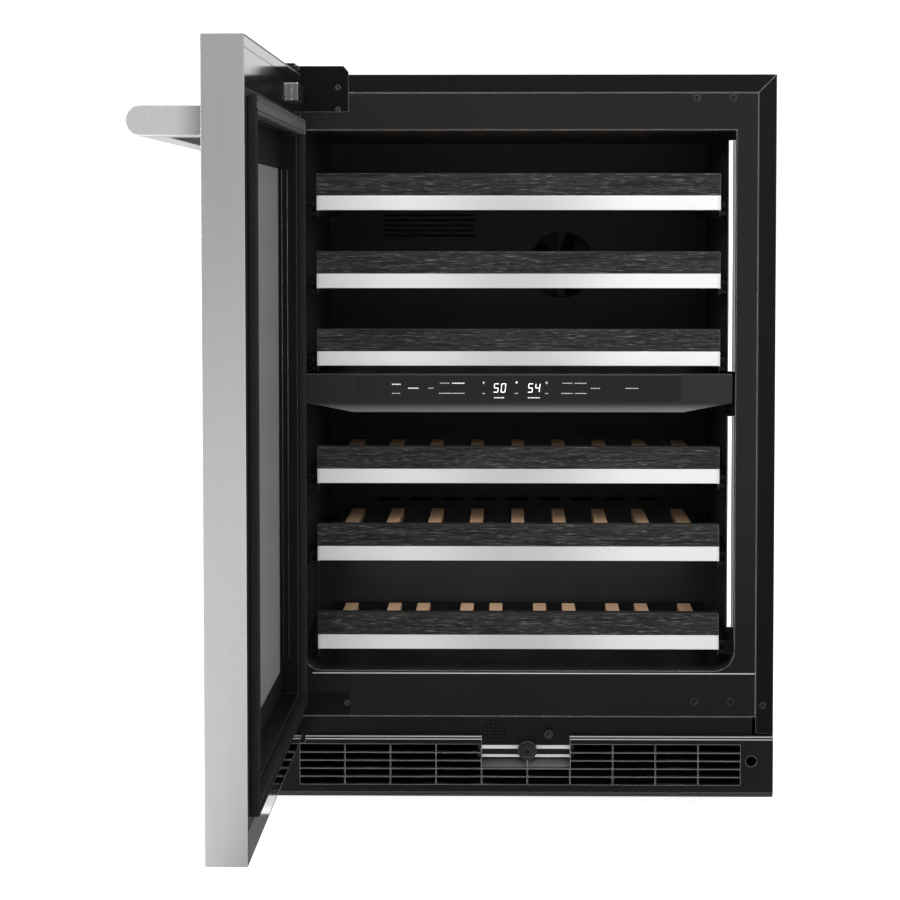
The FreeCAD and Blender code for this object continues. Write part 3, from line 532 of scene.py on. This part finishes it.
FINISHES = {
    "door_steel": brushed_steel("door_steel", (0.44, 0.442, 0.445), along=2),
    "handle_steel": brushed_steel("handle_steel", (0.72, 0.722, 0.725), along=1,
                                  rough=0.28),
    "mirror_steel": mirror_steel(),
    "nickel": nickel(),
    "frame": frame_enamel(),
    "apron": apron_enamel(),
    "shell": black_enamel("shell_enamel", depth=0.5, gloss=0.12, painted_edge_highlight=0.4,
                          rough=0.36).material,
    "plate": black_enamel("plate_enamel", depth=0.6, gloss=0.1, painted_edge_highlight=0.05).material,
    "bracket": black_enamel("bracket_enamel", depth=0.4, gloss=0.08,
                            painted_edge_highlight=0.4).material,
    "strip": black_enamel("strip_enamel", depth=0.9, gloss=0.18, painted_edge_highlight=0.22,
                          above=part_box("kick_strip")[1].z - 2 * MM).material,
    "grille": grille_enamel(),
    "machinery_black_and_shade": machinery_black_and_shade(),
    "moulding": black_moulding(),
    "liner": black_moulding("liner_moulding", (0.02, 0.02, 0.0205), rough=0.3, gloss=0.2,
                            painted_edge_highlight=0.12),
    "door_liner": black_moulding("door_liner", (0.0045, 0.0045, 0.0046), gloss=0.1,
                                 painted_edge_highlight=0.2),
    "housing": housing_moulding(),
    "knob": black_moulding("knob_moulding", (0.004, 0.004, 0.004), rough=0.16,
                           grain_size=900, gloss=0.35, painted_edge_highlight=0.2),
    "lock": lock_steel(),
    "dark_metal": dark_metal(),
    "rubber": gasket_rubber(),
    "sheet": grey_sheet(),
    "oak": black_oak(),
    "beech": beech(),
    "tinted": tinted_glass(),
    "painted_reflection_pane": inner_glass(),
    "touch": touch_glass(),
    "light": light_strip(),
    "digits": lamp("display_segment", (1.0, 1.0, 1.0), strength=1.0),
    # Painted light: the caption print glows faintly, though it is no lamp.
    "captions": lamp("glowing_caption_print", (0.5, 0.5, 0.5), strength=0.55),
    "fin": aluminium(),
    "foam": foam(),
}
WORN = {
    "shell": ["side_panel_left", "side_panel_right", "top_panel"],
    "frame": ["front_frame"],
    "bracket": ["top_hinge_bracket"],
    "plate": ["bottom_hinge_bracket", "rack_rails"],
    "strip": ["kick_strip"],
    "grille": ["toe_grille"],
    "machinery_black_and_shade": ["compressor", "base_pan", "fan_shroud", "condenser_coil", "condenser_fan"],
    "sheet": ["back_panel", "rear_vent_cover"],
    "moulding": ["leveling_feet", "evaporator_fan", "power_inlet"],
    "liner": ["inner_liner", "zone_divider", "evaporator_cover"],
    "door_liner": ["door_inner_liner"],
    "knob": ["lock_knob", "door_switch_plunger"],
    "lock": ["lock_bracket"],
    "housing": ["control_housing"],
    "dark_metal": ["frame_screws"],
    "nickel": ["door_hinge_fittings"],
    "door_steel": ["door_outer_skin"],
    "handle_steel": ["handle_bar", "handle_posts"],
    "mirror_steel": ["door_end_caps"],
    "rubber": ["door_gasket"],
    "tinted": ["glass_outer_pane"],
    "painted_reflection_pane": ["glass_inner_pane"],
    "touch": ["control_glass"],
    "light": ["led_lens"],
    "fin": ["led_channel", "evaporator_coil", "glass_spacer"],
    "foam": ["foam_insulation"],
    "oak": [f"rack_{i}_board" for i in RACKS],
    "beech": [f"rack_{i}_slats" for i in RACKS],
}


def dress(obj, material):
    """One material on a whole object."""
    obj.data.materials.clear()
    obj.data.materials.append(material)


def ease(obj, width, angle=32, segments=2):
    """Rounds a sheet or moulding's sharp edges, as folding and moulding leave them."""
    weld = obj.modifiers.new("weld", "WELD")
    weld.merge_threshold = SAME_POINT
    flat = obj.modifiers.new("flat", "DECIMATE")
    flat.decimate_type = "DISSOLVE"
    flat.angle_limit = math.radians(1)
    bevel = obj.modifiers.new("bevel", "BEVEL")
    bevel.width = width
    bevel.segments = segments
    bevel.limit_method = "ANGLE"
    bevel.angle_limit = math.radians(angle)
    bevel.harden_normals = False
    bevel.use_clamp_overlap = True


for finish, names in WORN.items():
    for name in names:
        dress(nodes[name], FINISHES[finish])
for i in RACKS:
    dress(nodes[f"rack_{i}_carrier"], rack_steel(i))

EASED = {
    0.8 * MM: ["side_panel_left", "side_panel_right", "top_panel", "door_outer_skin",
               "handle_bar", "handle_posts"],
    1.2 * MM: ["front_frame", "kick_strip", "toe_grille"],
    0.6 * MM: ["control_housing",
               "top_hinge_bracket", "bottom_hinge_bracket", "door_hinge_fittings",
               "lock_bracket", "door_end_caps", "door_inner_liner", "zone_divider"]
    + [f"rack_{i}_carrier" for i in RACKS] + [f"rack_{i}_board" for i in RACKS],
    1.0 * MM: [f"rack_{i}_slats" for i in RACKS] + ["inner_liner", "leveling_feet"],
}
for width, names in EASED.items():
    for name in names:
        ease(nodes[name], width)


# ------------------------------------------------------------------ modelling helpers
def deselect():
    """Out of edit mode, with nothing selected."""
    if bpy.context.object and bpy.context.object.mode != "OBJECT":
        bpy.ops.object.mode_set(mode="OBJECT")
    bpy.ops.object.select_all(action="DESELECT")


def begin(name):
    """The primitive just added becomes a named piece, with its place in its mesh."""
    obj = bpy.context.object
    obj.name = obj.data.name = name
    bpy.ops.object.transform_apply(location=True, rotation=True, scale=True)
    return obj


def bar(name, low, high):
    """A box between two corners, to be shaped further."""
    deselect()
    low, high = Vector(low), Vector(high)
    bpy.ops.mesh.primitive_cube_add(size=1, location=(low + high) / 2)
    bpy.context.object.scale = high - low
    return begin(name)


def disc(name, centre, radius, deep, sides):
    """A short cylinder with its axis along Y."""
    deselect()
    bpy.ops.mesh.primitive_cylinder_add(vertices=sides, radius=radius, depth=deep,
                                        location=centre, rotation=(math.pi / 2, 0, 0))
    return begin(name)


def take(obj, chosen):
    """Select an object's faces by their centre and normal, and go into edit mode."""
    deselect()
    obj.select_set(True)
    bpy.context.view_layer.objects.active = obj
    bpy.ops.object.mode_set(mode="EDIT")
    bpy.ops.mesh.select_mode(type="FACE")
    bpy.ops.mesh.select_all(action="DESELECT")
    bpy.ops.object.mode_set(mode="OBJECT")
    for face in obj.data.polygons:
        face.select = chosen(face.center, face.normal)
    bpy.ops.object.mode_set(mode="EDIT")


def step(inset, push):
    """Inset the selected faces and push what is left along a direction."""
    bpy.ops.mesh.inset(thickness=inset, use_even_offset=True)
    bpy.ops.mesh.extrude_region_move(TRANSFORM_OT_translate={"value": push})


def done(obj, body, finish, width, segments=2):
    """Leave edit mode, bevel, smooth, dress and mount a piece."""
    deselect()
    obj.select_set(True)
    bpy.context.view_layer.objects.active = obj
    bevel = obj.modifiers.new("bevel", "BEVEL")
    bevel.width = width
    bevel.segments = segments
    bevel.limit_method = "ANGLE"
    bevel.angle_limit = math.radians(35)
    bpy.ops.object.modifier_apply(modifier=bevel.name)
    bpy.ops.object.shade_smooth_by_angle(angle=math.radians(40))
    dress(obj, FINISHES[finish])
    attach(obj, body)
    return obj


def joined(name, pieces):
    """Several meshes made one."""
    deselect()
    for piece in pieces:
        piece.select_set(True)
    bpy.context.view_layer.objects.active = pieces[0]
    bpy.ops.object.join()
    obj = bpy.context.object
    obj.name = obj.data.name = name
    return obj


def merged_copy(node, name):
    """A copy of a CAD node with its loose triangles merged into clean faces."""
    deselect()
    obj = nodes[node].copy()
    obj.data = nodes[node].data.copy()
    obj.parent = None
    bpy.context.collection.objects.link(obj)
    obj.modifiers.clear()
    obj.name = obj.data.name = name
    obj.matrix_world.identity()
    obj.select_set(True)
    bpy.context.view_layer.objects.active = obj
    bpy.ops.object.mode_set(mode="EDIT")
    bpy.ops.mesh.select_all(action="SELECT")
    bpy.ops.mesh.remove_doubles(threshold=SAME_POINT)
    bpy.ops.mesh.dissolve_limited(angle_limit=math.radians(1))
    bpy.ops.object.mode_set(mode="OBJECT")
    return obj


# ------------------------------------------------------------------ display
def display():
    """Seven-segment numbers, plus and minus keys, and plain ticks for captions."""
    low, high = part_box("control_glass")
    face = low.y - 0.05 * MM
    middle = (low.z + high.z) / 2

    def stroke(x0, z0, x1, z1):
        """A bar on the glass, in millimetres from its middle height."""
        return bar("stroke", (x0 * MM, face - 0.1 * MM, middle + z0 * MM),
                   (x1 * MM, face + 0.2 * MM, middle + z1 * MM))

    def digit(left, bottom, lit, wide=5.7, tall=10.8, thick=0.95):
        """lit names the segments by letter: a top, b and c right, d foot, e and f left."""
        half = bottom + tall / 2
        places = {
            "a": (left + 0.4, bottom + tall - thick, left + wide - 0.4, bottom + tall),
            "d": (left + 0.4, bottom, left + wide - 0.4, bottom + thick),
            "g": (left + 0.4, half - thick / 2, left + wide - 0.4, half + thick / 2),
            "b": (left + wide - thick, half + 0.3, left + wide, bottom + tall - 0.6),
            "c": (left + wide - thick, bottom + 0.6, left + wide, half - 0.3),
            "e": (left, bottom + 0.6, left + thick, half - 0.3),
            "f": (left, half + 0.3, left + thick, bottom + tall - 0.6)}
        return [stroke(*places[letter]) for letter in lit]

    five, nought, four = "acdfg", "abcdef", "bcfg"
    foot, slant = -5.0, 0.12
    shapes = []
    for left, lit in ((-29, five), (-20.5, nought), (11.5, five), (20, four)):
        shapes += digit(left, foot, lit)
    numbers = joined("display_numbers", shapes)
    for corner in numbers.data.vertices:
        corner.co.x += slant * (corner.co.z - middle)
    done(numbers, "cabinet", "digits", 0.15 * MM, 1)

    def row(x0, x1, z, tall):
        """A caption as a row of plain ticks, every second one shorter."""
        tick, shorter = 1.6, 0.25
        count = round((x1 - x0) / tick)
        pitch = (x1 - x0) / count
        return [stroke(x0 + i * pitch, z - tall / 2 + shorter * (i % 2),
                       x0 + (i + 0.5) * pitch, z + tall / 2) for i in range(count)]

    marks = []
    arrow = disc("arrow", (-2 * MM, face, middle + 7 * MM), 1.7 * MM, 0.3 * MM, 3)
    take(arrow, lambda c, n: n.y < -0.9)
    step(0.3 * MM, (0, -0.05 * MM, 0))
    bpy.ops.object.mode_set(mode="OBJECT")
    marks.append(arrow)
    for x0, x1, z in ((-149, -138.5, 4.6), (-130, -117.5, 0), (-78, -63, 6),
                      (-28.5, -16, -11.2), (11.5, 26, -11.2)):
        marks += row(x0, x1, z, 1.3)
    keys = joined("display_keys", marks)
    done(keys, "cabinet", "digits", 0.06 * MM, 1)

    dim = []
    for x in (-41.0, 33.5):
        dim += [stroke(x - 1.7, 6.3, x + 1.7, 6.8), stroke(x - 0.25, 4.9, x + 0.25, 8.2),
                stroke(x - 1.6, -6.4, x + 1.6, -5.9)]
    for x0, x1, z in ((-149, -139, -6.2), (-106, -99.5, 0), (-92.5, -81, 6), (-93.5, -79, -6),
                      (-78, -63, -6), (-4.2, 0.4, -6), (52.5, 64.5, 6), (67, 81, 6),
                      (51, 65, -6), (67.5, 81, -6), (86, 97, 0), (127, 142, 0)):
        dim += row(x0, x1, z, 1.0)
    captions = joined("display_captions", dim)
    done(captions, "cabinet", "captions", 0.06 * MM, 1)


# ------------------------------------------------------------------ fittings
def screws():
    """Button-head screws with a round socket."""
    frame_face, flange_face, plate_face = 0.2, 0, -1.8
    places = [(209, 843, frame_face, 5.5), (252, 843, frame_face, 5.5),
              (209, 128, frame_face, 5.5), (252, 128, frame_face, 5.5),
              (290, 124, flange_face, 4.5), (-212, 855, plate_face, 3.4),
              (-212, 829, plate_face, 3.4), (-203, 126, plate_face, 3.4)]
    tall = 1.2
    heads = []
    for x, z, seat, radius in places:
        centre = (x * MM, (seat - tall / 2) * MM, z * MM)
        head = disc("head", centre, radius * MM, tall * MM, 24)
        take(head, lambda c, n: n.y < -0.9)
        step(0.25 * radius * MM, (0, 0.25 * MM, 0))
        step(0.12 * radius * MM, (0, -0.25 * MM, 0))
        step(0.2 * radius * MM, (0, 0.9 * MM, 0))
        bpy.ops.object.mode_set(mode="OBJECT")
        heads.append(head)
    obj = done(joined("screw_heads", heads), "cabinet", "dark_metal", 0.2 * MM, 1)
    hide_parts("frame_screws")


def knob():
    """The lock: a flanged barrel with a raised ring and a key slot."""
    low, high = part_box("lock_knob")
    x, y, z = (low + high) / 2
    barrel = disc("lock_barrel", (x, y, z), 4 * MM, high.y - low.y, 40)
    ring = disc("ring", (x, -2.5 * MM, z), 11.5 * MM, 7 * MM, 56)
    take(ring, lambda c, n: n.y < -0.9)
    step(1.2 * MM, (0, -0.8 * MM, 0))
    step(1.6 * MM, (0, 2.2 * MM, 0))
    step(0.9 * MM, (0, -6.0 * MM, 0))
    step(1.0 * MM, (0, 0.6 * MM, 0))
    bpy.ops.object.mode_set(mode="OBJECT")
    slot_bar = bar("slot", (x - 0.8 * MM, -10.2 * MM, z - 4 * MM),
                   (x + 0.8 * MM, -8.2 * MM, z + 4 * MM))
    obj = joined("lock_cylinder", [ring, barrel, slot_bar])
    done(obj, "lock", "knob", 0.4 * MM)
    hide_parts("lock_knob")


def gasket():
    """The door seal: the moulded strip's ribs run all the way round."""
    obj = merged_copy("door_gasket", "gasket_ribs")
    take(obj, lambda c, n: n.x > 0.9)
    step(1.6 * MM, (-2.2 * MM, 0, 0))
    step(1.2 * MM, (2.6 * MM, 0, 0))
    step(1.6 * MM, (-1.8 * MM, 0, 0))
    bpy.ops.object.mode_set(mode="OBJECT")
    done(obj, "door", "rubber", 0.7 * MM, 3)
    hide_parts("door_gasket")


def pane_clip():
    """A dark two-ribbed clip strip down the hinge side of the window recess."""
    low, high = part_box("glass_spacer")
    wall = -67 * MM
    pieces = []
    for x in (-272.8 * MM, -266.4 * MM):
        rib = bar("rib", (x - 0.6 * MM, wall - 0.4 * MM, low.z + 27 * MM),
                  (x + 0.6 * MM, wall + 0.2 * MM, high.z - 14 * MM))
        take(rib, lambda c, n: n.y < -0.9)
        step(0.2 * MM, (0, -0.6 * MM, 0))
        bpy.ops.object.mode_set(mode="OBJECT")
        pieces.append(rib)
    strip = done(joined("pane_clip", pieces), "door", "dark_metal", 0.1 * MM, 1)


def lock_tongue():
    """The small latch tongue hanging under the lock barrel."""
    low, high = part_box("lock_knob")
    x = (low.x + high.x) / 2
    tongue = bar("lock_tongue", (x - 0.9 * MM, -4.6 * MM, 49.9 * MM),
                 (x + 0.9 * MM, -2.8 * MM, 58.5 * MM))
    take(tongue, lambda c, n: n.z < -0.9)
    bpy.ops.mesh.extrude_region_move(TRANSFORM_OT_translate={"value": (0, -0.6 * MM, 0)})
    bpy.ops.object.mode_set(mode="OBJECT")
    done(tongue, "cabinet", "handle_steel", 0.2 * MM, 1)


def lock_apron():
    """The sloping apron that falls forward from the lock's rails to the ledge."""
    low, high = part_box("lock_bracket")
    inset, forward = 5.2 * MM, 7.2 * MM
    apron = bar("lock_apron", (low.x + inset, 4.5 * MM, 49.6 * MM),
                (high.x - inset, 5.5 * MM, 60.8 * MM))
    take(apron, lambda c, n: n.z < -0.9)
    bpy.ops.transform.translate(value=(0, -forward, 0))
    bpy.ops.object.mode_set(mode="OBJECT")
    done(apron, "cabinet", "apron", 0.3 * MM, 2)


lock_tongue()
lock_apron()
pane_clip()
display()
screws()
knob()
gasket()


# ------------------------------------------------------------------ studio
def softbox(name, place, size, power):
    """A rectangular light that faces down."""
    light = bpy.data.lights.new(name, "AREA")
    light.shape = "RECTANGLE"
    light.size, light.size_y = size
    light.energy = power
    obj = bpy.data.objects.new(name, light)
    bpy.context.collection.objects.link(obj)
    obj.location = place
    return obj


def studio():
    """A white floor and backdrop, a broad light in front, and one on each side."""
    deselect()
    bpy.ops.mesh.primitive_plane_add(size=60, location=(0, 0, 0))
    floor = begin("floor")
    paint = Paint("white_floor", (0.9, 0.9, 0.9), roughness=0.9, emission_strength=0.95,
                  specular_ior_level=0.1)
    paint.feed("Emission Color", (1.0, 1.0, 1.0))
    dress(floor, paint.material)

    deselect()
    # Painted shade: a grey card seen only by gloss, standing in for shade on the floor in
    # front of the cabinet.
    bpy.ops.mesh.primitive_plane_add(size=1, location=(0.84, -1.35, 0.004))
    bpy.context.object.scale = (2.3, 2.6, 1)
    card = begin("grey_card")
    dress(card, Paint("grey_card", (0.28, 0.28, 0.28), roughness=0.95).material)
    card.visible_camera = card.visible_shadow = card.visible_diffuse = False
    card.visible_transmission = False

    world = bpy.data.worlds.new("studio")
    bpy.context.scene.world = world
    world.use_nodes = True
    sky = Network(world.node_tree)
    outwards = sky.node("ShaderNodeTexCoord", out="Generated")
    behind = sky.node("ShaderNodeSeparateXYZ", sockets={0: outwards}, out="Y")
    level = sky.node("ShaderNodeMapRange", sockets={
        "Value": behind, "From Max": 0.7, "To Min": 0.3, "To Max": 0.72})
    seen = sky.node("ShaderNodeLightPath", out="Is Camera Ray")
    strength = sky.node("ShaderNodeMapRange", sockets={
        "Value": seen, "To Min": level, "To Max": 1.15})
    background = world.node_tree.nodes["Background"]
    sky.put(background.inputs["Color"], (1, 1, 1))
    sky.put(background.inputs["Strength"], strength)

    softboxes = [("front", (0.3, -4.6, 1.9), (3.4, 1.8), 12),
                 ("left", (-3.0, -1.2, 1.5), (2.4, 2.4), 9),
                 ("right", (3.0, -1.0, 1.6), (2.4, 2.4), 12),
                 ("top", (0, -0.8, 3.2), (3, 1.6), 14),
                 ("top_strip", (0, -1.5, 2.4), (3.2, 0.12), 22),
                 ("left_strip", (-2.2, -2.2, 1.0), (0.12, 2.4), 12),
                 ("right_strip", (2.2, -2.0, 1.0), (0.12, 2.4), 14)]
    target = Vector((0, -0.1, 0.5))
    for name, place, size, power in softboxes:
        light = softbox(name, place, size, power)
        light.rotation_euler = (target - Vector(place)).to_track_quat("-Z", "Y").to_euler()


def bay_lights():
    """A faint downward light over each rack, unseen by the camera and by gloss."""
    above = 36 * MM
    for i in RACKS:
        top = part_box(f"rack_{i}_board")[1].z
        light = softbox(f"bay_{i}", (0, 0.15, top + above), (0.42, 0.16), 0.22)
        light.visible_camera = light.visible_glossy = False


def camera():
    """A long lens in front of the cabinet, turned a little left and tipped down."""
    tipped, turned = 3.0, 0.8
    lens = bpy.data.cameras.new("camera")
    obj = bpy.data.objects.new("camera", lens)
    bpy.context.collection.objects.link(obj)
    obj.location = (-0.0062, -2.8882, 0.691)
    obj.rotation_euler = [math.radians(a) for a in (90 - tipped, 0, turned)]
    lens.lens = 98.02
    lens.sensor_width = 36
    lens.shift_x = -0.0321
    lens.shift_y = -0.1048
    bpy.context.scene.camera = obj


studio()
bay_lights()
camera()
bpy.context.scene.view_settings.view_transform = "Standard"
